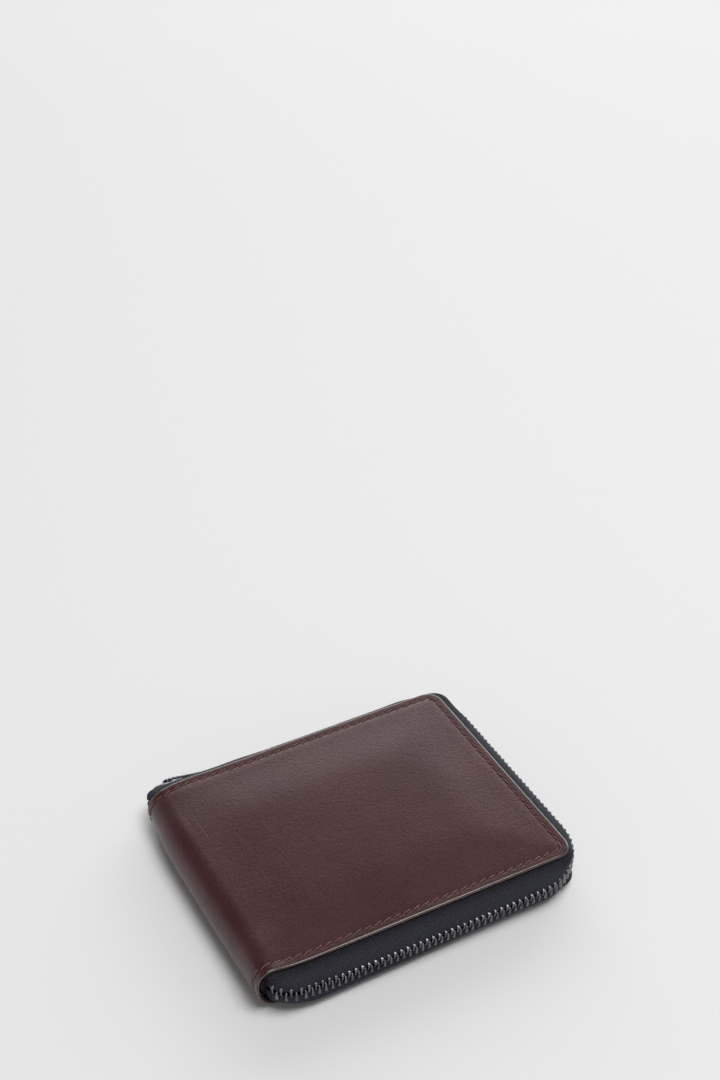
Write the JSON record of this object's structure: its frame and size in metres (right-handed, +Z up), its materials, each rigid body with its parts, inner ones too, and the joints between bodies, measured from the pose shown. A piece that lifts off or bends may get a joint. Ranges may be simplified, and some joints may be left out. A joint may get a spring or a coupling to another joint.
{
  "type": "zip around wallet",
  "caption": "Padded leather wallet that opens flat at its spine, closed round its edges by a metal zip with a leather pull, with card slots and a zipped coin pocket inside.",
  "frame": {"origin": "centre of the lower cover's flat underside, on the table", "axes": "+X from the spine to the fore edge, +Y from the foot edge to the head edge, +Z up"},
  "size_m": [0.1259, 0.1119, 0.0172],
  "materials": {
    "outer_leather": "smooth semi-gloss dark reddish brown",
    "inner_leather": "smooth dark reddish brown",
    "lining": "matt dark brown twill",
    "foam": "soft foam sheet",
    "core_board": "stiff board",
    "zip_tape": "black twill tape",
    "zip_metal": "polished gunmetal",
    "slider_metal": "dark gunmetal"
  },
  "bodies": {
    "lower_half": {"lower_cover_leather": "outer_leather", "lower_cover_padding": "foam", "lower_cover_core": "core_board", "lower_lining": "lining", "lower_zip_tape": "zip_tape", "lower_zip_teeth": "zip_metal", "lower_top_stop": "zip_metal", "zip_bottom_stop": "zip_metal", "coin_pocket_back": "lining", "coin_pocket_gusset": "lining", "coin_pocket_front": "inner_leather", "coin_pocket_facing": "inner_leather", "coin_zip_foot_tape": "zip_tape", "coin_zip_head_tape": "zip_tape", "coin_zip_foot_teeth": "zip_metal", "coin_zip_head_teeth": "zip_metal"},
    "spine": {"spine_leather": "outer_leather", "spine_core": "core_board", "spine_lining": "lining"},
    "upper_half": {"upper_cover_leather": "outer_leather", "upper_cover_padding": "foam", "upper_cover_core": "core_board", "upper_lining": "lining", "upper_zip_tape": "zip_tape", "upper_zip_teeth": "zip_metal", "upper_top_stop": "zip_metal", "slip_pocket_panel": "lining", "card_slot_1": "inner_leather", "card_slot_2": "inner_leather", "card_slot_3": "inner_leather", "card_slot_4": "inner_leather"},
    "zip_slider": {"slider_body": "slider_metal", "slider_bridge": "slider_metal"},
    "zip_pull": {"pull_loop": "slider_metal", "pull_tab": "outer_leather"},
    "coin_slider": {"coin_slider_body": "slider_metal", "coin_slider_pull": "slider_metal"}
  },
  "joints": [
    {"name": "lower_fold", "type": "hinge", "parent": "lower_half", "child": "spine", "pos_m": [-0.05772, 0, 0.00309], "axis": [0, -1, 0], "range_deg": [0, 90]},
    {"name": "upper_fold", "type": "hinge", "parent": "spine", "child": "upper_half", "pos_m": [-0.05772, 0, 0.01412], "axis": [0, -1, 0], "range_deg": [0, 90]},
    {"name": "zip_slide", "type": "slide", "parent": "lower_half", "child": "zip_slider", "axis": [1, 0, 0], "range_m": [0, 0.087]},
    {"name": "pull_swing", "type": "hinge", "parent": "zip_slider", "child": "zip_pull", "pos_m": [-0.0469, 0.05612, 0.0086], "axis": [0.2756, 0, 0.9613], "range_deg": [0, 180]},
    {"name": "coin_slide", "type": "slide", "parent": "lower_half", "child": "coin_slider", "axis": [1, 0, 0], "range_m": [0, 0.07]}
  ],
  "couplings": [
    {"joint": "lower_fold", "follows": "upper_fold", "ratio": 1}
  ]
}
